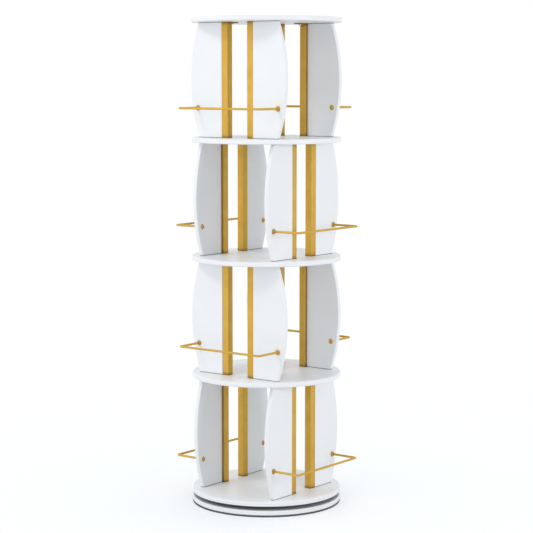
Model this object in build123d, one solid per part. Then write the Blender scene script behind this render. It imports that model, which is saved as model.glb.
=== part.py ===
from build123d import *
import math
import os

# Revolving bookshelf: a tower of round boards and two-post frames on a ball-bearing turntable.
# All sizes are millimetres. The origin is on the floor, on the axis the tower turns about, and +Z is up.

# Round boards
disc_diameter = 400.0
disc_thickness = 13.0
disc_edge_radius = 3.0
base_diameter = 400.0
base_thickness = 13.0
board_skin = 4.0                # board left beyond the end of a blind hole

# Tiers
tier_count = 4
tier_height = 302.0             # clear height between two boards

# Foot pads under the base
pad_count = 6
pad_diameter = 24.0
pad_height = 4.0
pad_setback = 30.0              # from the rim of the base to the centre of a pad
pad_edge_radius = 0.8

# Frames, two to a tier, each with its outer face set back from the rim of the boards
frame_setback = 75.0
post_size = 20.0
post_wall = 1.2
post_corner_radius = 1.5
post_gap = 64.0                 # open gap between the two posts of a frame

# Barrel-sided panels
panel_thickness = 12.0
panel_setback = 70.0            # from the side of the boards to the foot of the curved edge
panel_bulge = 27.5              # how much further out the middle of the curved edge stands
panel_edge_radius = 2.0

# Mounting tabs at the heads of the posts
tab_length = 28.0
tab_thickness = 3.0
tab_corner_radius = 4.0

# Wire rails
rail_wire = 6.0
rail_setback = 67.5             # from the side of the boards to the centre of a leg
rail_reach = 79.0               # from the face of the panel to the centre of the front bar
rail_height = 78.0              # above the board
rail_bend = 6.0                 # radius of the bends, at the centre of the wire
flange_diameter = 14.0
flange_thickness = 2.0

# Screws that hold the rails, with domed heads on the inner faces of the panels
rail_screw_diameter = 3.0
rail_screw_head = 14.0
rail_screw_dome = 3.5
rail_screw_bite = 9.0           # reach into the leg of the rail

# Bolts up into the feet of the posts
bolt_diameter = 6.0
bolt_head = 12.0
bolt_head_height = 3.3
bolt_bite = 12.0                # reach into the threaded insert
insert_spare = 3.0              # insert left beyond the end of the bolt

# Countersunk screws of one size, for the panels and both turntable rings
screw_diameter = 4.0
screw_head = 8.0
screw_head_height = 2.4
screw_tip = 2.0
machine_screw_tip = 1.0         # for the bolts and the base's screws, which end in a thread
panel_screw_bite = 22.0         # reach into the foot of a panel
panel_screw_inset = 15.0        # from each end of the foot of a panel
ring_screw_bite = 6.5           # reach of the base's screws into the outer ring

# Pan-headed screws up through the tabs
tab_screw_head = 8.0
tab_screw_head_height = 2.4

# Hexagon sockets, across their corners, as a share of the shank that they drive
socket_share = 0.9
socket_depth = 1.4

# Dowels in the heads of the panels
dowel_diameter = 6.0
dowel_bite = 14.0               # reach into the panel
dowel_inset = 30.0              # from each end of the head of a panel, clear of the next tier's screws
dowel_chamfer = 0.8

# Turntable
turntable_height = 10.0
ball_circle = 200.0             # diameter of the circle the balls run on
ball_diameter = 5.0
ball_count = 30
race_gap = 1.5                  # between the two rings
ring_width = 14.0
ring_lift = 0.5                 # from each ring to the board that it must not rub on
ring_screw_count = 6
cage_height = 7.0
cage_side_clearance = 0.35

# Fits
ball_clearance = 0.05           # ball to groove, on the radius
pocket_clearance = 0.1          # ball to the pocket of the cage, on the radius
screw_clearance = 0.1           # shank or head to its hole, on the radius
hole_end_clearance = 0.5        # beyond the tip of a screw or dowel

# Rounding, as a share of the thickness or width that is rounded
fillet_limit = 0.45             # the most that a fillet may take from each side
rim_share = 0.4                 # on flanges and pan heads, where only the outer rim is rounded

# Length of a through hole's tool, as a multiple of what it passes through
through = 2.0

# Heights above the floor
base_bottom = pad_height
base_top = base_bottom + base_thickness
tower_bottom = base_top + turntable_height
tier_pitch = tier_height + disc_thickness

# Places in a frame that faces -Y, with its foot at height 0
frame_face = disc_diameter / 2 - frame_setback
frame_back = frame_face - post_size
panel_back = frame_face - panel_thickness
panel_middle = frame_face - panel_thickness / 2
post_x = (post_gap + post_size) / 2
post_y = -(frame_face - post_size / 2)
panel_start = post_gap / 2 + post_size
panel_end = disc_diameter / 2 - panel_setback
panel_screw_xs = (panel_start + panel_screw_inset, panel_end - panel_screw_inset)
panel_dowel_xs = (panel_start + dowel_inset, panel_end - dowel_inset)
rail_x = disc_diameter / 2 - rail_setback
tab_screw_y = -(frame_back - tab_length / 2)

# Sizes that follow from others
blind_depth = disc_thickness - board_skin
panel_fillet = min(panel_edge_radius, fillet_limit * panel_thickness)
insert_side = post_size - 2 * post_wall
insert_length = bolt_bite + insert_spare
race_radius = ball_circle / 2
groove_radius = ball_diameter / 2 + ball_clearance
race_height = base_top + turntable_height / 2
inner_ring_outside = race_radius - race_gap / 2
inner_ring_inside = inner_ring_outside - ring_width
outer_ring_inside = race_radius + race_gap / 2
outer_ring_outside = outer_ring_inside + ring_width
tower_screw_radius = (inner_ring_inside + race_radius - groove_radius) / 2
base_screw_radius = (outer_ring_outside + race_radius + groove_radius) / 2
ring_height = turntable_height - ring_lift

FROM_BELOW = (Align.CENTER, Align.CENTER, Align.MIN)
FROM_ABOVE = (Align.CENTER, Align.CENTER, Align.MAX)

# The turn of each frame about the axis, by the side of the tower that it faces
FRAME_TURN = {"front": 0.0, "right": 90.0, "back": 180.0, "left": 270.0}


def tier_sides(tier):
    """Neighbouring tiers stand at right angles: the lowest faces right and left."""
    return ("right", "left") if tier % 2 == 0 else ("front", "back")


def disc_bottom(level):
    """Underside of a board of the tower, counted from 0 at the bottom disc."""
    return tower_bottom + level * tier_pitch


def tier_floor(tier):
    """Top of the board that a tier stands on."""
    return disc_bottom(tier) + disc_thickness


def round_solid(profile):
    """A solid turned about Z from (radius, height) points."""
    return revolve(Plane.XZ * make_face(Polyline(*profile, close=True)), Axis.Z)


def socket(diameter):
    """Hexagon socket, cut up into a head from height 0."""
    return extrude(RegularPolygon(socket_share * diameter / 2, 6), socket_depth)


def countersunk_screw(head, head_height, diameter, length, tip):
    """Countersunk screw that points up, its flat head at height 0."""
    shank = diameter / 2
    profile = [(0, 0), (head / 2, 0), (shank, head_height), (shank, length - tip)]
    profile += [(shank - tip / 2, length), (0, length)]
    return round_solid(profile) - socket(diameter)


def countersunk_hole(head, head_height, diameter, depth):
    """Room for a countersunk screw that points up, from height 0."""
    shank = diameter / 2 + screw_clearance
    profile = [(0, 0), (head / 2 + screw_clearance, 0), (shank, head_height), (shank, depth), (0, depth)]
    return round_solid(profile)


def pilot_hole(diameter, depth):
    """Round hole that goes up from height 0."""
    return Cylinder(diameter / 2 + screw_clearance, depth, align=FROM_BELOW)


def ring_of(shape, count, radius, height):
    """Copies of a shape, evenly spaced round the axis."""
    return [Rot(0, 0, 360 * i / count) * Pos(radius, 0, height) * shape for i in range(count)]


def both_sides(shape):
    """A shape and its mirror image across the middle of a frame."""
    return [shape, mirror(shape, about=Plane.YZ)]


def in_frame(side, height, shape):
    """Stands a shape, made in a frame that faces the front, in the frame of another side."""
    return Pos(0, 0, height) * Rot(0, 0, FRAME_TURN[side]) * shape


def round_board(diameter, thickness, bottom):
    """Round board with softly rounded rims."""
    board = Pos(0, 0, bottom) * Cylinder(diameter / 2, thickness, align=FROM_BELOW)
    rims = board.edges().filter_by(GeomType.CIRCLE)
    return fillet(rims, min(disc_edge_radius, fillet_limit * thickness))


# Fasteners that repeat, each made once at the origin
post_bolt = countersunk_screw(
    bolt_head, bolt_head_height, bolt_diameter, disc_thickness + bolt_bite, machine_screw_tip)
panel_screw = countersunk_screw(
    screw_head, screw_head_height, screw_diameter, disc_thickness + panel_screw_bite, screw_tip)
tower_screw = countersunk_screw(
    screw_head, screw_head_height, screw_diameter, ring_height + blind_depth, screw_tip)
base_screw = countersunk_screw(
    screw_head, screw_head_height, screw_diameter, base_thickness + ring_screw_bite, machine_screw_tip)


def tab_screw():
    """Pan-headed wood screw that points up, its head under height 0."""
    head = Cylinder(tab_screw_head / 2, tab_screw_head_height, align=FROM_ABOVE)
    lower_rim = head.edges().filter_by(GeomType.CIRCLE).sort_by(Axis.Z)[0]
    head = fillet(lower_rim, rim_share * tab_screw_head_height)
    length = tab_thickness + blind_depth
    shank = screw_diameter / 2
    profile = [(0, 0), (shank, 0), (shank, length - screw_tip)]
    profile += [(shank - screw_tip / 2, length), (0, length)]
    return head + round_solid(profile) - Pos(0, 0, -tab_screw_head_height) * socket(screw_diameter)


def rail_screw():
    """Machine screw along -Y from the inner face of a panel, with a domed head."""
    head_radius = rail_screw_head / 2
    dome_radius = (head_radius ** 2 + rail_screw_dome ** 2) / (2 * rail_screw_dome)
    ball = Pos(0, 0, rail_screw_dome - dome_radius) * Sphere(dome_radius)
    dome = ball & Cylinder(head_radius, rail_screw_dome, align=FROM_BELOW)
    shank = Cylinder(rail_screw_diameter / 2, panel_thickness + rail_screw_bite, align=FROM_ABOVE)
    drive = Pos(0, 0, rail_screw_dome - socket_depth) * socket(rail_screw_diameter)
    screw = dome + shank - drive
    return Pos(rail_x, -panel_back, rail_height) * Rot(-90, 0, 0) * screw


def post():
    """Square tube that stands on a board, on the +X side of its frame."""
    section = RectangleRounded(post_size, post_size, post_corner_radius) - Rectangle(insert_side, insert_side)
    return Pos(post_x, post_y, 0) * extrude(section, tier_height)


def post_insert():
    """Threaded block in the foot of a post."""
    block = Box(insert_side, insert_side, insert_length, align=FROM_BELOW)
    return Pos(post_x, post_y, 0) * (block - pilot_hole(bolt_diameter, insert_length))


def post_tab():
    """Strip from the head of a post towards the axis, flat under the board above."""
    strip = Box(post_size, tab_length, tab_thickness, align=FROM_BELOW)
    free_corners = strip.edges().filter_by(Axis.Z).sort_by(Axis.Y)[-2:]
    strip = fillet(free_corners, min(tab_corner_radius, fillet_limit * post_size))
    strip -= pilot_hole(screw_diameter, tab_thickness)
    return Pos(post_x, tab_screw_y, tier_height - tab_thickness) * strip


def panel():
    """Flat board with rounded edges, one end square against the post and the other barrel-curved."""
    middle = (panel_end + panel_bulge, tier_height / 2)
    curved_edge = ThreePointArc((panel_end, 0), middle, (panel_end, tier_height))
    corners = [(panel_end, tier_height), (panel_start, tier_height), (panel_start, 0), (panel_end, 0)]
    outline = make_face(Polyline(*corners) + curved_edge)
    board = extrude(Plane.XZ.offset(frame_face) * outline, -panel_thickness)
    post_side = board.faces().sort_by(Axis.X)[0]
    board = fillet(board.edges() - post_side.edges(), panel_fillet)
    rail_hole = Cylinder(rail_screw_diameter / 2 + screw_clearance, through * panel_thickness)
    holes = [Pos(rail_x, -panel_middle, rail_height) * Rot(90, 0, 0) * rail_hole]
    screw_hole = pilot_hole(screw_diameter, panel_screw_bite + hole_end_clearance)
    holes += [Pos(x, -panel_middle, 0) * screw_hole for x in panel_screw_xs]
    dowel_hole = pilot_hole(dowel_diameter, dowel_bite + hole_end_clearance)
    hole_end = tier_height - dowel_bite - hole_end_clearance
    holes += [Pos(x, -panel_middle, hole_end) * dowel_hole for x in panel_dowel_xs]
    return board - holes


def panel_dowel(x):
    """Dowel from the head of a panel up into the board above."""
    length = dowel_bite + blind_depth
    dowel = Cylinder(dowel_diameter / 2, length, align=FROM_BELOW)
    dowel = chamfer(dowel.edges().filter_by(GeomType.CIRCLE), dowel_chamfer)
    return Pos(x, -panel_middle, tier_height - dowel_bite) * dowel


def rail():
    """Wire bent to a U, with a flange at the foot of each leg and a threaded hole in each end."""
    front_y = -(frame_face + rail_reach)
    corners = [(-rail_x, -frame_face), (-rail_x, front_y), (rail_x, front_y), (rail_x, -frame_face)]
    path = Pos(0, 0, rail_height) * FilletPolyline(*corners, radius=rail_bend)
    wire = sweep(Plane(path @ 0, z_dir=path % 0) * Circle(rail_wire / 2), path)
    flange = Cylinder(flange_diameter / 2, flange_thickness, align=FROM_BELOW)
    outer_rim = flange.edges().filter_by(GeomType.CIRCLE).sort_by(Axis.Z)[-1]
    flange = fillet(outer_rim, rim_share * flange_thickness)
    thread = pilot_hole(rail_screw_diameter, rail_screw_bite + hole_end_clearance)
    for x in (-rail_x, rail_x):
        foot = Pos(x, -frame_face, rail_height) * Rot(90, 0, 0)
        wire = wire + foot * flange - foot * thread
    return wire


def tower_disc(level):
    """Board of the tower, drilled for the tier below it and the tier above it."""
    bottom = disc_bottom(level)
    holes = []
    if level > 0:
        tab_hole = pilot_hole(screw_diameter, blind_depth + hole_end_clearance)
        dowel_hole = pilot_hole(dowel_diameter, blind_depth + hole_end_clearance)
        half_frame = [Pos(post_x, tab_screw_y) * tab_hole]
        half_frame += [Pos(x, -panel_middle) * dowel_hole for x in panel_dowel_xs]
        holes += [in_frame(side, bottom, hole)
                  for side in tier_sides(level - 1)
                  for half in half_frame
                  for hole in both_sides(half)]
    if level < tier_count:
        bolt_hole = countersunk_hole(bolt_head, bolt_head_height, bolt_diameter, disc_thickness)
        screw_hole = countersunk_hole(screw_head, screw_head_height, screw_diameter, disc_thickness)
        half_frame = [Pos(post_x, post_y) * bolt_hole]
        half_frame += [Pos(x, -panel_middle) * screw_hole for x in panel_screw_xs]
        holes += [in_frame(side, bottom, hole)
                  for side in tier_sides(level)
                  for half in half_frame
                  for hole in both_sides(half)]
    if level == 0:
        ring_hole = pilot_hole(screw_diameter, blind_depth + hole_end_clearance)
        holes += ring_of(ring_hole, ring_screw_count, tower_screw_radius, bottom)
    return round_board(disc_diameter, disc_thickness, bottom) - holes


def base_disc():
    """Fixed board under the turntable, with holes for the screws of the outer ring."""
    hole = countersunk_hole(screw_head, screw_head_height, screw_diameter, base_thickness)
    holes = ring_of(hole, ring_screw_count, base_screw_radius, base_bottom)
    return round_board(base_diameter, base_thickness, base_bottom) - holes


def foot_pads():
    """Rubber pads stuck under the base."""
    pad = Cylinder(pad_diameter / 2, pad_height, align=FROM_BELOW)
    lower_rim = pad.edges().filter_by(GeomType.CIRCLE).sort_by(Axis.Z)[0]
    pad = fillet(lower_rim, min(pad_edge_radius, fillet_limit * pad_height))
    return ring_of(pad, pad_count, base_diameter / 2 - pad_setback, 0)


def grooved_ring(inside, outside, bottom):
    """Turntable ring: a rectangular section with a ball groove, turned about Z."""
    section = Pos((inside + outside) / 2, bottom + ring_height / 2) * Rectangle(outside - inside, ring_height)
    section -= Pos(race_radius, race_height) * Circle(groove_radius)
    return revolve(Plane.XZ * section, Axis.Z)


def inner_ring():
    """Ring under the tower, screwed up into the bottom disc."""
    bottom = base_top + ring_lift
    hole = countersunk_hole(screw_head, screw_head_height, screw_diameter, ring_height)
    ring = grooved_ring(inner_ring_inside, inner_ring_outside, bottom)
    return ring - ring_of(hole, ring_screw_count, tower_screw_radius, bottom)


def outer_ring():
    """Ring on the base, held by screws from beneath the base."""
    hole = pilot_hole(screw_diameter, ring_screw_bite + hole_end_clearance)
    ring = grooved_ring(outer_ring_inside, outer_ring_outside, base_top)
    return ring - ring_of(hole, ring_screw_count, base_screw_radius, base_top)


def ball_cage():
    """Thin strip between the rings with a pocket for each ball."""
    thickness = race_gap - 2 * cage_side_clearance
    section = Pos(race_radius, race_height) * Rectangle(thickness, cage_height)
    # The seam of the turned strip is set half way between two pockets
    strip = Rot(0, 0, 180 / ball_count) * revolve(Plane.XZ * section, Axis.Z)
    pocket = Rot(0, 90, 0) * Cylinder(ball_diameter / 2 + pocket_clearance, through * race_gap)
    return strip - ring_of(pocket, ball_count, race_radius, race_height)


nodes = {
    "foot_pads": foot_pads(),
    "base_disc": [base_disc()],
    "turntable_outer_ring": [outer_ring()],
    "turntable_base_screws": ring_of(base_screw, ring_screw_count, base_screw_radius, base_bottom),
    "turntable_balls": ring_of(Sphere(ball_diameter / 2), ball_count, race_radius, race_height),
    "turntable_cage": [ball_cage()],
    "turntable_inner_ring": [inner_ring()],
    "turntable_tower_screws": ring_of(
        tower_screw, ring_screw_count, tower_screw_radius, base_top + ring_lift),
    "bottom_disc": [tower_disc(0)],
    "top_disc": [tower_disc(tier_count)],
}
for level in range(1, tier_count):
    nodes[f"shelf_disc_{level}"] = [tower_disc(level)]

# One half of a frame, and the rail across both halves
half_posts = both_sides(post())
half_panels = both_sides(panel())
frame_rail = rail()
group_halves = {
    "post_inserts": [post_insert()],
    "post_bolts": [Pos(post_x, post_y, -disc_thickness) * post_bolt],
    "post_tabs": [post_tab()],
    "tab_screws": [Pos(post_x, tab_screw_y, tier_height - tab_thickness) * tab_screw()],
    "panel_screws": [Pos(x, -panel_middle, -disc_thickness) * panel_screw for x in panel_screw_xs],
    "panel_dowels": [panel_dowel(x) for x in panel_dowel_xs],
    "rail_screws": [rail_screw()],
}
for group in group_halves:
    nodes[group] = []

for tier in range(tier_count):
    height = tier_floor(tier)
    for side in tier_sides(tier):
        frame_name = f"tier{tier + 1}_{side}"
        for half, label in enumerate("ab"):
            nodes[f"{frame_name}_post_{label}"] = [in_frame(side, height, half_posts[half])]
            nodes[f"{frame_name}_panel_{label}"] = [in_frame(side, height, half_panels[half])]
        nodes[f"{frame_name}_rail"] = [in_frame(side, height, frame_rail)]
        for group, halves in group_halves.items():
            for half in halves:
                nodes[group] += [in_frame(side, height, piece) for piece in both_sides(half)]

os.makedirs("parts", exist_ok=True)
for name, pieces in nodes.items():
    solids = [solid for piece in pieces for solid in piece.solids()]
    export_step(solids[0] if len(solids) == 1 else Compound(solids), f"parts/{name}.step")

# The balls roll between the two grooves, so the cage turns a little slower than half as fast as the tower
contact_angle = math.radians(45)
contact_inset = ball_diameter / 2 * math.cos(contact_angle)
print("cage turns per tower turn:", round((race_radius - contact_inset) / ball_circle, 4))
print("nodes:", len(nodes))
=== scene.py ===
# %% [markdown]
# This lesson dresses a revolving bookshelf: five round white boards, four tiers of gold posts, wire
# rails and barrel-sided panels, all turning on a ball bearing over a fixed base. The measured solids
# come ready made, one object for each piece, and they are never moved or edited here. All of it could
# be modelled again by eye, but solids at their real size only need finishes, the small marks that
# welding leaves, and a studio to stand in.

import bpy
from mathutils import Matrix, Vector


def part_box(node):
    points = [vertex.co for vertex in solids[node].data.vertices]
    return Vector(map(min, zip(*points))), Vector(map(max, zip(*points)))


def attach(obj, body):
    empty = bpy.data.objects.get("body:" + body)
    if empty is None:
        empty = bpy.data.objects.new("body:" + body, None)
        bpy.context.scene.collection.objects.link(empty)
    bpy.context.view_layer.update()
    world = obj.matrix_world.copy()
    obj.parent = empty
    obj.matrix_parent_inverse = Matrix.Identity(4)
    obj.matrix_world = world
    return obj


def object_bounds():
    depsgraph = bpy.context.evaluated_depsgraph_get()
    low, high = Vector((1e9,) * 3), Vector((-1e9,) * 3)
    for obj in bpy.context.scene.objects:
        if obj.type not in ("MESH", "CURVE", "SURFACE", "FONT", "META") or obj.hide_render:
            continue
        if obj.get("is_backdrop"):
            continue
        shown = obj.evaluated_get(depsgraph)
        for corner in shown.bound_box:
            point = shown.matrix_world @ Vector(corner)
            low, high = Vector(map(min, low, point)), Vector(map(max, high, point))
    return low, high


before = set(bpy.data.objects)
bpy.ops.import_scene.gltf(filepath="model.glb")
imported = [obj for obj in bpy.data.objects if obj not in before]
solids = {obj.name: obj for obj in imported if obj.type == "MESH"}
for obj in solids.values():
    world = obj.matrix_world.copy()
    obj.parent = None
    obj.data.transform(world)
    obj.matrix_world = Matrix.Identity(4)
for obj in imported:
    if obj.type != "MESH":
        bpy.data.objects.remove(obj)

# %% [markdown]
# Nothing that is added may make the object larger than it really is, so its box is measured first and
# kept for the last cell. It could be typed in, but a box that is read from the solids stays true when
# a size changes.

# %% Measure the object
cad_low, cad_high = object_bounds()
print("box in mm:", [round(1000 * (high - low), 1) for low, high in zip(cad_low, cad_high)])

# %% [markdown]
# Colours are written as sRGB hex values, the way a paint chart on a screen gives them. Shaders work in
# linear light, where half as much light is half the number, so one function converts them. Typing
# linear numbers by hand is the other way, and it is hard to read back as a colour.

# %% Colours from hex values
def linear(hex_value):
    """Linear RGBA from an sRGB hex value such as D8B356."""
    channels = [int(hex_value[start:start + 2], 16) / 255 for start in (0, 2, 4)]
    return [c / 12.92 if c <= 0.04045 else ((c + 0.055) / 1.055) ** 2.4 for c in channels] + [1.0]


print("middle grey 808080 in linear light:", round(linear("808080")[0], 3))

# %% [markdown]
# Every finish here is a small graph of shader nodes. Nodes could be placed by hand in the editor, but
# written down they can be read and changed. One function adds any kind of node: a plain value fills an
# input, and a pair of a node and an output becomes a link.

# %% One helper for all nodes
import bpy


def add_node(tree, kind, inputs=None, **settings):
    """Adds a node with its settings; an input is a value, or a (node, output) pair to link from."""
    node = tree.nodes.new(kind)
    for name, value in settings.items():
        setattr(node, name, value)
    for socket, value in (inputs or {}).items():
        if isinstance(value, tuple):
            source, output = value
            tree.links.new(source.outputs[output], node.inputs[socket])
        else:
            node.inputs[socket].default_value = value
    return node


def empty_tree(material):
    """The node tree of a new material or world, cleared."""
    material.use_nodes = True
    material.node_tree.nodes.clear()
    return material.node_tree


def cells(size_mm):
    """Texture scale for features of a size in millimetres, since Object coordinates are metres."""
    return 1000.0 / size_mm


print("a 5 mm feature needs a texture scale of", cells(5))

# %% [markdown]
# Where two pieces meet, less light gets into the joint, and that shade is painted into the finish as a
# darker tone. The joints could be traced by hand, but the Ambient Occlusion node finds them: it tells how
# much of the space round a point is free within a few millimetres, whatever pieces are near.

# %% Painted shade in the joints
joint_samples = 16
closed_share = 0.4             # with this share of the space free, or less, a joint is at its darkest


def painted_joint_shade(tree, reach_mm, open_share, strength):
    """Painted shade for a point in a joint: from 0 where open_share of the space is free, up to strength."""
    joint = add_node(tree, "ShaderNodeAmbientOcclusion", {"Distance": reach_mm / 1000},
                     samples=joint_samples)
    shade = add_node(tree, "ShaderNodeMapRange",
                     {"Value": (joint, "AO"), "From Min": closed_share, "From Max": open_share,
                      "To Min": strength, "To Max": 0.0})
    return (shade, 0)


print(f"a joint is darkest where {closed_share:.0%} of the space or less is free")

# %% [markdown]
# The boards and panels are fibreboard, sanded, sprayed with white lacquer and cured to a satin sheen.
# Up close such lacquer has a faint orange peel, and over a hand's breadth its tone drifts by a hair.
# A flat white would be the short way, but then a wide board reads as paper. Real orange peel is about
# 1 mm across and would vanish in the picture, so it is drawn coarser, and very shallow.
#
# The faces that lie deep in shade get painted shade, a grey mixed into the lacquer: both sides of the slit
# that the turntable stands in, and the underside of the base. A second material would need those faces
# split off by hand, so the height of a point decides instead.

# %% White satin lacquer
lacquer_peel_mm = 4.0          # about 1 mm on a real board, drawn coarser so that it shows
lacquer_drift_mm = 110.0
base_low, base_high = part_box("base_disc")
slit_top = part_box("bottom_disc")[0].z
# The height of each face with painted shade, how far that grey reaches round the rim there, both in
# metres, and its grey: a light one on top of the base, a dark one under the base and above the slit
painted_shade_faces = [
    (base_low.z, 0.0004, "6A6B6C"),
    (base_high.z, 0.0006, "D8D9DA"),
    (slit_top, 0.0012, "6A6B6C"),
]


def white_satin_lacquer():
    """Sprayed lacquer on fibreboard, bright with a broad soft sheen, and painted grey shade where it is
    hidden.
    """
    material = bpy.data.materials.new("white_satin_lacquer")
    tree = empty_tree(material)
    place = (add_node(tree, "ShaderNodeTexCoord"), "Object")
    drift = add_node(tree, "ShaderNodeTexNoise",
                     {"Vector": place, "Scale": cells(lacquer_drift_mm), "Detail": 3.0})
    tone = add_node(tree, "ShaderNodeMix", {0: (drift, 0), 6: linear("F4F6F8"), 7: linear("EDEFF1")},
                    data_type="RGBA")
    height = (add_node(tree, "ShaderNodeSeparateXYZ", {0: place}), "Z")
    # painted shade: each face in the slit or under the base is mixed to a grey
    for face_height, wrap, shade_grey in painted_shade_faces:
        shade_mask = add_node(tree, "ShaderNodeMath", {0: height, 1: face_height, 2: wrap},
                          operation="COMPARE")
        tone = add_node(tree, "ShaderNodeMix", {0: (shade_mask, 0), 6: (tone, 2), 7: linear(shade_grey)},
                        data_type="RGBA")
    joint = painted_joint_shade(tree, reach_mm=5.0, open_share=0.7, strength=0.8)
    # painted shade: in the joints the white is mixed towards the grey 6E7072
    tone = add_node(tree, "ShaderNodeMix", {0: joint, 6: (tone, 2), 7: linear("6E7072")},
                    data_type="RGBA")
    peel = add_node(tree, "ShaderNodeTexNoise",
                    {"Vector": place, "Scale": cells(lacquer_peel_mm), "Detail": 2.0})
    sheen = add_node(tree, "ShaderNodeMapRange", {"Value": (peel, 0), "To Min": 0.36, "To Max": 0.46})
    relief = add_node(tree, "ShaderNodeBump", {"Height": (peel, 0), "Strength": 0.12, "Distance": 0.0002})
    shader = add_node(tree, "ShaderNodeBsdfPrincipled",
                      {"Base Color": (tone, 2), "Roughness": (sheen, 0), "Normal": (relief, 0)})
    add_node(tree, "ShaderNodeOutputMaterial", {"Surface": (shader, 0)})
    return material


finishes = {"white_board": white_satin_lacquer()}
print("finish made:", finishes["white_board"].name)

# %% [markdown]
# Posts, tabs, rails and the rails' screws are steel under a baked gold powder coat. The powder melts
# into a fairly matt skin that is full of metal flakes. A coloured paint would be the short way, but it
# keeps its tone in the shade, and a real gold coat goes brown there, because the flakes mirror what is
# round them. So the shader is a rough metal. The flakes are far finer than a pixel and are drawn
# coarser, as a faint grain.

# %% Gold powder coat
flake_mm = 1.8                 # about 0.05 mm in the real powder, drawn coarser so that it shows
coat_drift_mm = 35.0


def gold_powder_coat():
    """Baked metallic powder on steel: an even gold with a fine grain and a soft glint."""
    material = bpy.data.materials.new("gold_powder_coat")
    tree = empty_tree(material)
    place = (add_node(tree, "ShaderNodeTexCoord"), "Object")
    drift = add_node(tree, "ShaderNodeTexNoise",
                     {"Vector": place, "Scale": cells(coat_drift_mm), "Detail": 4.0})
    body = add_node(tree, "ShaderNodeMix", {0: (drift, 0), 6: linear("D2B054"), 7: linear("C6A046")},
                    data_type="RGBA")
    flakes = add_node(tree, "ShaderNodeTexVoronoi", {"Vector": place, "Scale": cells(flake_mm)})
    glint = add_node(tree, "ShaderNodeMapRange",
                     {"Value": (flakes, "Distance"), "To Min": 0.16, "To Max": 0.0})
    tone = add_node(tree, "ShaderNodeMix", {0: (glint, 0), 6: (body, 2), 7: linear("EDD28A")},
                    data_type="RGBA")
    joint = painted_joint_shade(tree, reach_mm=12.0, open_share=0.92, strength=0.9)
    # painted shade: in the joints the gold is mixed towards the dark brown 5C3D14
    tone = add_node(tree, "ShaderNodeMix", {0: joint, 6: (tone, 2), 7: linear("5C3D14")},
                    data_type="RGBA")
    sheen = add_node(tree, "ShaderNodeMapRange", {"Value": (drift, 0), "To Min": 0.62, "To Max": 0.76})
    relief = add_node(tree, "ShaderNodeBump",
                      {"Height": (flakes, "Distance"), "Strength": 0.15, "Distance": 0.0001})
    shader = add_node(tree, "ShaderNodeBsdfPrincipled",
                      {"Base Color": (tone, 2), "Metallic": 1.0, "Roughness": (sheen, 0),
                       "Normal": (relief, 0)})
    add_node(tree, "ShaderNodeOutputMaterial", {"Surface": (shader, 0)})
    return material


finishes["gold_coat"] = gold_powder_coat()
print("finish made:", finishes["gold_coat"].name)

# %% [markdown]
# Bolts, screws and the inserts in the posts are steel with bright zinc plate. Plating leaves small
# crystals, so the mirror is cloudy in patches. A metal takes its whole colour from its reflection, so
# the shader is fully metallic and only the roughness wanders.

# %% Bright zinc plate
zinc_patch_mm = 1.2


def bright_zinc_plate():
    """Zinc-plated steel: a bluish bright metal, cloudy in small patches."""
    material = bpy.data.materials.new("bright_zinc_plate")
    tree = empty_tree(material)
    place = (add_node(tree, "ShaderNodeTexCoord"), "Object")
    patch = add_node(tree, "ShaderNodeTexVoronoi", {"Vector": place, "Scale": cells(zinc_patch_mm)})
    tone = add_node(tree, "ShaderNodeMix",
                    {0: (patch, "Distance"), 6: linear("CDD1D4"), 7: linear("B9BEC3")}, data_type="RGBA")
    cloud = add_node(tree, "ShaderNodeMapRange",
                     {"Value": (patch, "Distance"), "To Min": 0.22, "To Max": 0.4})
    shader = add_node(tree, "ShaderNodeBsdfPrincipled",
                      {"Base Color": (tone, 2), "Metallic": 1.0, "Roughness": (cloud, 0)})
    add_node(tree, "ShaderNodeOutputMaterial", {"Surface": (shader, 0)})
    return material


finishes["screw_steel"] = bright_zinc_plate()
print("finish made:", finishes["screw_steel"].name)

# %% [markdown]
# The two rings of the turntable are aluminium turned on a lathe, whose tool leaves fine circles round
# the axis. An image of scratches could be wrapped round them, but the circles follow from geometry:
# the distance of a point from the axis drives a one-dimensional noise, so every mark is a true circle.

# %% Turned aluminium
tool_mark_mm = 0.5             # about 0.1 mm from a real tool, drawn coarser so that it shows


def turned_aluminium():
    """Lathe-turned aluminium: a pale metal with fine circles round the axis."""
    material = bpy.data.materials.new("turned_aluminium")
    tree = empty_tree(material)
    place = (add_node(tree, "ShaderNodeTexCoord"), "Object")
    flat = add_node(tree, "ShaderNodeVectorMath", {0: place, 1: [1.0, 1.0, 0.0]}, operation="MULTIPLY")
    radius = add_node(tree, "ShaderNodeVectorMath", {0: (flat, "Vector")}, operation="LENGTH")
    marks = add_node(tree, "ShaderNodeTexNoise",
                     {"W": (radius, "Value"), "Scale": cells(tool_mark_mm), "Detail": 1.0},
                     noise_dimensions="1D")
    tone = add_node(tree, "ShaderNodeMix", {0: (marks, 0), 6: linear("DADCDF"), 7: linear("C6C9CD")},
                    data_type="RGBA")
    sheen = add_node(tree, "ShaderNodeMapRange", {"Value": (marks, 0), "To Min": 0.24, "To Max": 0.42})
    relief = add_node(tree, "ShaderNodeBump", {"Height": (marks, 0), "Strength": 0.2, "Distance": 0.00005})
    shader = add_node(tree, "ShaderNodeBsdfPrincipled",
                      {"Base Color": (tone, 2), "Metallic": 1.0, "Roughness": (sheen, 0),
                       "Normal": (relief, 0)})
    add_node(tree, "ShaderNodeOutputMaterial", {"Surface": (shader, 0)})
    return material


finishes["ring_aluminium"] = turned_aluminium()
print("finish made:", finishes["ring_aluminium"].name)

# %% [markdown]
# The balls are hardened steel, lapped to a mirror. A perfect mirror looks false, so a thin smear of
# grease is suggested by a slow change of roughness.

# %% Polished bearing steel
smear_mm = 2.5


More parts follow.
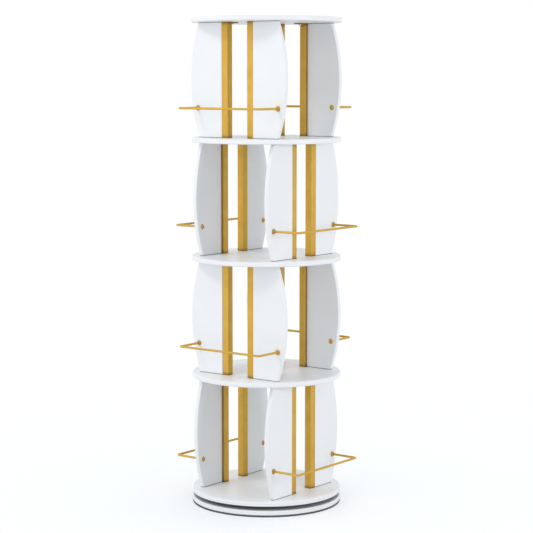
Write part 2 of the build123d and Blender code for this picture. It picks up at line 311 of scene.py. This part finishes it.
def polished_bearing_steel():
    """Lapped steel balls: a dark clear mirror with a trace of grease."""
    material = bpy.data.materials.new("polished_bearing_steel")
    tree = empty_tree(material)
    place = (add_node(tree, "ShaderNodeTexCoord"), "Object")
    smear = add_node(tree, "ShaderNodeTexNoise", {"Vector": place, "Scale": cells(smear_mm)})
    tone = add_node(tree, "ShaderNodeMix", {0: (smear, 0), 6: linear("D9DCE0"), 7: linear("CCC9C0")},
                    data_type="RGBA")
    sheen = add_node(tree, "ShaderNodeMapRange", {"Value": (smear, 0), "To Min": 0.05, "To Max": 0.2})
    shader = add_node(tree, "ShaderNodeBsdfPrincipled",
                      {"Base Color": (tone, 2), "Metallic": 1.0, "Roughness": (sheen, 0)})
    add_node(tree, "ShaderNodeOutputMaterial", {"Surface": (shader, 0)})
    return material


finishes["ball_steel"] = polished_bearing_steel()
print("finish made:", finishes["ball_steel"].name)

# %% [markdown]
# Three finishes are left that are plain mixtures of two tones: the moulded nylon of the ball cage, the
# moulded rubber of the foot pads, and the beech of the dowels, whose grain runs up and down. Each could
# have a graph of its own, but they differ only in their numbers: a tone, a grain and a relief. So one
# function serves all three, and stretches the grain by scaling its coordinates along each axis.

# %% Moulded nylon, moulded rubber and beech
def two_tone_finish(name, light, dark, grain_mm, roughness, depth):
    """A grained finish between two tones; grain_mm is the size of the grain along X, Y and Z."""
    material = bpy.data.materials.new(name)
    tree = empty_tree(material)
    place = (add_node(tree, "ShaderNodeTexCoord"), "Object")
    stretch = add_node(tree, "ShaderNodeMapping", {"Vector": place, "Scale": [cells(mm) for mm in grain_mm]})
    grain = add_node(tree, "ShaderNodeTexNoise", {"Vector": (stretch, 0), "Scale": 1.0, "Detail": 4.0})
    tone = add_node(tree, "ShaderNodeMix", {0: (grain, 0), 6: linear(light), 7: linear(dark)},
                    data_type="RGBA")
    sheen = add_node(tree, "ShaderNodeMapRange",
                     {"Value": (grain, 0), "To Min": roughness[0], "To Max": roughness[1]})
    relief = add_node(tree, "ShaderNodeBump", {"Height": (grain, 0), "Strength": 0.3, "Distance": depth})
    shader = add_node(tree, "ShaderNodeBsdfPrincipled",
                      {"Base Color": (tone, 2), "Roughness": (sheen, 0), "Normal": (relief, 0)})
    add_node(tree, "ShaderNodeOutputMaterial", {"Surface": (shader, 0)})
    return material


# Dark moulded nylon, with the dull bloom of a spark-eroded mould
finishes["cage_nylon"] = two_tone_finish(
    "moulded_nylon", "3A3B3D", "2C2D2F", (1.0, 1.0, 1.0), (0.45, 0.6), 0.00005)
# Black rubber, matt and slightly dusty
finishes["pad_rubber"] = two_tone_finish(
    "moulded_rubber", "3B3A39", "242424", (1.5, 1.5, 1.5), (0.65, 0.85), 0.0001)
# Beech turned to a rod, straight-grained along its length
finishes["dowel_beech"] = two_tone_finish(
    "turned_beech", "DDBB92", "C39A6C", (0.8, 0.8, 12.0), (0.5, 0.65), 0.0001)
print("finishes made:", len(finishes))

# %% [markdown]
# Each solid arrives with a plain material that is named for its slot in the record. Giving a solid its
# finish means replacing that material, which leaves its shape and place alone.

# %% Give every solid its finish
for solid in solids.values():
    slot = solid.material_slots[0].material.name
    solid.material_slots[0].material = finishes[slot]
for slot, finish in finishes.items():
    users = [name for name, solid in solids.items() if solid.active_material == finish]
    print(f"{finish.name}: {len(users)} solids")

# %% [markdown]
# Each post has a steel tab at its head, welded on before coating. The weld is a rippled bead in the
# corner under the tab, and the solids leave it out. It could be faked with bump, but a bead that is
# seen from below needs a real outline. One is made: a small round face is pushed along the
# seam, step by step, and each new ring is scaled up or down to leave the ripples of the weld pool.

# %% Sizes of a weld bead
weld_radius = 0.0026
weld_ripple = 0.12             # how much a ripple's waist is thinner than its crest
weld_steps = 16
weld_corners = 14              # corners of the round face that is pushed along the seam
weld_end = 0.45                # radius at both ends, as a share of the bead's own
weld_span = 0.86               # length of the bead, as a share of the width of a post
sides_turn = {"front": 0, "right": 90, "back": 180, "left": 270}
post_names = sorted(name for name in solids if "_post_" in name)
post_low, post_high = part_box(post_names[0])
post_width = post_high.x - post_low.x
tab_heights = sorted({round(vertex.co.z, 5) for vertex in solids["post_tabs"].data.vertices})
tab_thickness = tab_heights[-1] - tab_heights[-2]
weld_length = weld_span * post_width
print(f"{len(post_names)} welds, {1000 * weld_length:.1f} mm long, "
      f"under tabs {1000 * tab_thickness:.1f} mm thick")

# %% Model one weld bead at the origin
import math

# The bead swells and thins like the middle part of a half wave, made flatter by a power
wave_start = 0.15
wave_part = 0.7
wave_power = 0.35
weld_start = -weld_length / 2
ring_radius = weld_end * weld_radius

bpy.ops.object.select_all(action="DESELECT")
bpy.ops.mesh.primitive_circle_add(vertices=weld_corners, radius=ring_radius, fill_type="NGON",
                                  location=(weld_start, 0, 0), rotation=(0, math.radians(90), 0))
weld = bpy.context.active_object
weld.name = "weld_bead"
bpy.ops.object.transform_apply(location=True, rotation=True, scale=True)
bpy.ops.object.mode_set(mode="EDIT")
bpy.ops.mesh.select_all(action="SELECT")
for step in range(1, weld_steps + 1):
    along = step / weld_steps
    swell = math.sin(math.pi * (wave_start + wave_part * along)) ** wave_power
    next_radius = weld_radius * swell * (1 - weld_ripple * (step % 2))
    if step == weld_steps:
        next_radius = weld_end * weld_radius
    bpy.ops.mesh.extrude_region_move(TRANSFORM_OT_translate={"value": (weld_length / weld_steps, 0, 0)})
    centre = (weld_start + along * weld_length, 0, 0)
    bpy.ops.transform.resize(value=(1, next_radius / ring_radius, next_radius / ring_radius),
                             center_override=centre)
    ring_radius = next_radius
bpy.ops.object.mode_set(mode="OBJECT")
print("weld bead before trimming:", len(weld.data.polygons), "faces")

# %% [markdown]
# Only a quarter of that round bead shows: the post hides one side and the tab hides the top. Left
# whole, it would lie inside the steel. So two cuts trim it to the corner, one along the face of the
# post and one along the underside of the tab, and the cuts are filled so that the bead is a closed
# solid. One level of subdivision before the cuts melts its ripples together.

# %% Round and trim the weld bead
smooth_angle = math.radians(50)        # faces that meet at less than this are shaded as one
rounding = weld.modifiers.new("rounding", "SUBSURF")
rounding.levels = 1
rounding.render_levels = 1
bpy.ops.object.modifier_apply(modifier=rounding.name)
bpy.ops.object.mode_set(mode="EDIT")
for hidden_side in ((0, -1, 0), (0, 0, 1)):
    bpy.ops.mesh.select_all(action="SELECT")
    bpy.ops.mesh.bisect(plane_co=(0, 0, 0), plane_no=hidden_side, use_fill=True, clear_outer=True)
bpy.ops.mesh.select_all(action="SELECT")
bpy.ops.mesh.normals_make_consistent(inside=False)
bpy.ops.object.mode_set(mode="OBJECT")
bpy.ops.object.shade_smooth_by_angle(angle=smooth_angle)
weld.data.materials.append(finishes["gold_coat"])
print("weld bead after trimming:", len(weld.data.polygons), "faces")

# %% [markdown]
# The same bead is needed under all the tabs, so the first one is copied, and each copy is turned to
# face the axis and moved to the head of its post. Its place is then applied to its mesh, so that each
# object sits at the origin like the solids do, and each copy has a mesh of its own.

# %% Copy the bead to every post
from mathutils import Matrix, Vector


def copy_to(model, name, place, turn):
    """A copy of a small piece with its own mesh, turned about Z in degrees and set in place."""
    bpy.ops.object.select_all(action="DESELECT")
    copy = model.copy()
    copy.data = model.data.copy()
    copy.name = name
    bpy.context.collection.objects.link(copy)
    copy.location = place
    copy.rotation_euler = (0, 0, math.radians(turn))
    copy.select_set(True)
    bpy.context.view_layer.objects.active = copy
    bpy.ops.object.transform_apply(location=True, rotation=True, scale=True)
    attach(copy, "tower")
    return copy


for name in post_names:
    side = name.split("_")[1]
    low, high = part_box(name)
    inward = Matrix.Rotation(math.radians(sides_turn[side]), 3, "Z") @ Vector((0, post_width / 2, 0))
    corner = (low + high) / 2 + inward
    corner.z = high.z - tab_thickness
    copy_to(weld, name.replace("post", "weld"), corner, sides_turn[side])
bpy.data.objects.remove(weld)
print("welds placed:", len(post_names))

# %% [markdown]
# A rail's wire is brazed to the small round flange at each end, and the braze flows into a hollow fillet
# round the wire. A cone would be quicker to make, but the hollow curve is what catches the light. Its
# section is a small closed outline, drawn point by point and spun round the axis of the wire.

# %% Sizes of a braze fillet
braze_size = 0.0022
braze_hollow = 0.92            # how far the hollow reaches along each side, as a share of the size
braze_curve = 0.08             # profile of the hollow: 0.5 bulges like a circle, and less sinks in
braze_arc_steps = 6
braze_spin_steps = 32
leg_part = 0.02                # beyond this distance from the panel a rail is bare wire
flange_part = 1.2              # more than this many wire radii above the middle, it is the flange
rail_names = sorted(name for name in solids if name.endswith("_rail"))


def outward(side):
    """The level direction that a frame on one side of the tower faces."""
    return Matrix.Rotation(math.radians(sides_turn[side]), 3, "Z") @ Vector((0, -1, 0))


rail_low, rail_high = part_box(rail_names[0])
rail_middle = (rail_low + rail_high) / 2
flange_radius = (rail_high.z - rail_low.z) / 2
rail_side = outward(rail_names[0].split("_")[1])
# Each corner of the rail's mesh, as its distance out from the axis and its distance from the middle height
corners = [(vertex.co.dot(rail_side), abs(vertex.co.z - rail_middle.z))
           for vertex in solids[rail_names[0]].data.vertices]
rail_foot = min(out for out, rise in corners)
wire_radius = max(rise for out, rise in corners if out > rail_foot + leg_part)
flange_thickness = max(out for out, rise in corners if rise > flange_part * wire_radius) - rail_foot
rail_leg = max(rail_high.x - rail_low.x, rail_high.y - rail_low.y) / 2 - flange_radius
print(f"{len(rail_names)} rails of {2000 * wire_radius:.2f} mm wire, "
      f"flanges {2000 * flange_radius:.2f} mm across and {1000 * flange_thickness:.2f} mm thick, "
      f"legs {1000 * rail_leg:.2f} mm from the middle")

# %% Model one braze fillet at the origin
bpy.ops.object.select_all(action="DESELECT")
bpy.ops.mesh.primitive_plane_add(size=braze_size,
                                 location=(wire_radius + braze_size / 2, -braze_size / 2, 0))
braze = bpy.context.active_object
braze.name = "braze_fillet"
bpy.ops.object.transform_apply(location=True, rotation=True, scale=True)
bpy.ops.object.mode_set(mode="EDIT")
bpy.ops.mesh.select_all(action="DESELECT")
bpy.ops.object.mode_set(mode="OBJECT")
for vertex in braze.data.vertices:
    vertex.select = vertex.co.x > wire_radius + braze_size / 2 and vertex.co.y < -braze_size / 2
bpy.ops.object.mode_set(mode="EDIT")
bpy.ops.mesh.bevel(offset=braze_size * braze_hollow, segments=braze_arc_steps, profile=braze_curve,
                   affect="VERTICES")
bpy.ops.mesh.select_all(action="SELECT")
bpy.ops.mesh.spin(steps=braze_spin_steps, angle=math.radians(360), center=(0, 0, 0), axis=(0, 1, 0))
bpy.ops.mesh.select_all(action="SELECT")
bpy.ops.mesh.remove_doubles(threshold=1e-6)
bpy.ops.mesh.normals_make_consistent(inside=False)
bpy.ops.object.mode_set(mode="OBJECT")
bpy.ops.object.shade_smooth_by_angle(angle=smooth_angle)
braze.data.materials.append(finishes["gold_coat"])
print("braze fillet:", len(braze.data.polygons), "faces")

# %% Copy the fillet to every leg
for name in rail_names:
    side = name.split("_")[1]
    low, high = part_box(name)
    foot = (rail_foot + flange_thickness) * outward(side)
    foot.z = (low.z + high.z) / 2
    along = outward(side).cross(Vector((0, 0, 1)))
    copy_to(braze, name.replace("rail", "braze_a"), foot - rail_leg * along, sides_turn[side])
    copy_to(braze, name.replace("rail", "braze_b"), foot + rail_leg * along, sides_turn[side])
bpy.data.objects.remove(braze)
print("braze fillets placed:", 2 * len(rail_names))

# %% [markdown]
# The studio is a white room without corners. The floor is plain and pale, and the camera sees it lit up
# to white apart from the object's own shadow. More light on everything would do that too, but would burn
# out the white boards, so only the rays that come from the camera, or from a mirror, see the brighter
# floor. From beneath the floor is clear, and under the base it also lets light through, so that the
# underside can be looked at.

# %% Lay the floor
floor_drop = 0.0002            # keeps the floor from flickering against the feet
floor_size = 60.0

bpy.ops.object.select_all(action="DESELECT")
bpy.ops.mesh.primitive_plane_add(size=floor_size, location=(0, 0, cad_low.z - floor_drop))
floor = bpy.context.active_object
floor.name = "studio_floor"
floor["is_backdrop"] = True
print("floor laid at", round(1000 * floor.location.z, 2), "mm")

# %% Tones of the floor
floor_tone = 0.9               # how much light the paper gives back to the object
seen_open = 1.335              # tone that the camera sees, which turns the room's light to white
# painted shade: under the base the camera sees the floor at a far darker tone than in the open
seen_beneath = 0.38            # tone in the narrow shade under the base


def seen_directly(tree):
    """1 for a ray from the camera or off a mirror, and 0 for one that only carries light about."""
    ray = add_node(tree, "ShaderNodeLightPath")
    mirrored = add_node(tree, "ShaderNodeMath",
                        {0: (ray, "Is Glossy Ray"), 1: (ray, "Is Transmission Ray")}, operation="ADD")
    seen = add_node(tree, "ShaderNodeMath", {0: (ray, "Is Camera Ray"), 1: (mirrored, 0)},
                    operation="ADD", use_clamp=True)
    return (seen, 0)


print(f"the floor gives back {floor_tone}, and is seen as {seen_open}, or {seen_beneath} under the base")

# %% Paper for the floor
paper = bpy.data.materials.new("studio_paper")
tree = empty_tree(paper)
place = (add_node(tree, "ShaderNodeTexCoord"), "Object")
distance = add_node(tree, "ShaderNodeVectorMath", {0: place}, operation="LENGTH")
beneath = add_node(tree, "ShaderNodeMath", {0: (distance, "Value"), 1: base_high.x}, operation="LESS_THAN")
seen_tone = add_node(tree, "ShaderNodeMix", {0: (beneath, 0), 2: seen_open, 3: seen_beneath})
plain = add_node(tree, "ShaderNodeBsdfDiffuse", {"Color": [floor_tone, floor_tone, floor_tone, 1.0]})
bright = add_node(tree, "ShaderNodeBsdfDiffuse", {"Color": (seen_tone, 0)})
paper_side = add_node(tree, "ShaderNodeMixShader", {0: seen_directly(tree), 1: (plain, 0), 2: (bright, 0)})
clear = add_node(tree, "ShaderNodeBsdfTransparent")
ray = add_node(tree, "ShaderNodeLightPath")
window = add_node(tree, "ShaderNodeMath", {0: (beneath, 0), 1: (ray, "Is Camera Ray")},
                  operation="SUBTRACT", use_clamp=True)
facing = add_node(tree, "ShaderNodeNewGeometry")
see_through = add_node(tree, "ShaderNodeMath", {0: (window, 0), 1: (facing, "Backfacing")},
                       operation="MAXIMUM")
sheet = add_node(tree, "ShaderNodeMixShader", {0: (see_through, 0), 1: (paper_side, 0), 2: (clear, 0)})
add_node(tree, "ShaderNodeOutputMaterial", {"Surface": (sheet, 0)})
floor.data.materials.append(paper)
print("paper for the floor:", len(tree.nodes), "nodes")

# %% [markdown]
# Most of the light in such a picture comes from everywhere at once, off white walls. The world gives
# that light. The camera and mirrors see it as plain white, and everything else is lit by a slightly
# dimmer and cooler white, which leaves room for lamps to shape the object.

# %% The white room
room_light = 0.80
room = bpy.data.worlds.new("white_room")
tree = empty_tree(room)
walls = add_node(tree, "ShaderNodeBackground", {"Color": linear("F8FBFF"), "Strength": room_light})
backdrop = add_node(tree, "ShaderNodeBackground", {"Color": linear("FFFFFF"), "Strength": 1.0})
light = add_node(tree, "ShaderNodeMixShader", {0: seen_directly(tree), 1: (walls, 0), 2: (backdrop, 0)})
add_node(tree, "ShaderNodeOutputWorld", {"Surface": (light, 0)})
bpy.context.scene.world = room
print("light from the room:", room_light)

# %% [markdown]
# Three softboxes shape the object. A large one stands left of the front and a smaller one square to the
# right, where each post shades the next one. They set how bright each side is, and nearer to the camera
# they would wash out the rims of the boards. The front is the brighter, because a small key lamp stands
# there too, high up. The key alone would do for a harder picture, but its shadows under the boards would
# go too dark. On the floor the lamps would leave long shadows and fade with the distance, so they are
# linked to everything but the floor, which keeps the soft shadow that the room's light makes.

# %% Softboxes
def stand(azimuth, distance, height):
    """A place round the object: azimuth 0 is in front, on -Y, and 90 is on the right, on +X."""
    angle = math.radians(azimuth)
    return Vector((math.sin(angle) * distance, -math.cos(angle) * distance, height))


def softbox(name, place, size, watts):
    """A square area lamp that faces the middle of the object, leaves the floor alone and is not seen."""
    aim = (cad_low + cad_high) / 2 - place
    bpy.ops.object.light_add(type="AREA", location=place, rotation=aim.to_track_quat("-Z", "Y").to_euler())
    lamp = bpy.context.active_object
    lamp.name = name
    lamp.data.size = size
    lamp.data.energy = watts
    lamp.visible_camera = False
    # The selected floor is left out of what the active lamp lights
    floor.select_set(True)
    bpy.ops.object.light_linking_receivers_link(link_state="EXCLUDE")
    floor.select_set(False)
    print(f"{name}: {watts} W, {size} m across, {aim.length:.1f} m away")


softbox("key_softbox", stand(-20, 2.9, 3.3), 0.9, 25)
softbox("front_softbox", stand(-20, 3.7, 1.2), 2.4, 22)
softbox("right_softbox", stand(92, 3.7, 1.2), 1.0, 29.5)

# %% [markdown]
# The camera stands about where the photograph was taken from, found by matching edges of the boards and
# posts to a pinhole camera: well back, with a long lens, a little below the top board and tilted down. A
# closer camera with a short lens would spread the boards apart at the top and the bottom.

# %% Camera
camera_azimuth = 37.507
camera_distance = 4.5769
camera_height = 1.1446
camera_tilt = 6.321
camera_lens = 115.69

bpy.ops.object.camera_add(
    location=stand(camera_azimuth, camera_distance, camera_height),
    rotation=(math.radians(90 - camera_tilt), 0, math.radians(camera_azimuth)))
camera = bpy.context.active_object
camera.data.lens = camera_lens
camera.data.sensor_width = 36.0
bpy.context.scene.camera = camera
bpy.context.scene.view_settings.view_transform = "Standard"
print("camera at", [round(value, 3) for value in camera.location])

# %% [markdown]
# The last cell measures the dressed object against the box from the second cell and prints how much it
# has grown, so that any piece that sticks out is found at once.

low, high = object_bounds()
print("grown by, in mm:", [round(1000 * (b - a), 3) for a, b in zip(cad_high - cad_low, high - low)])
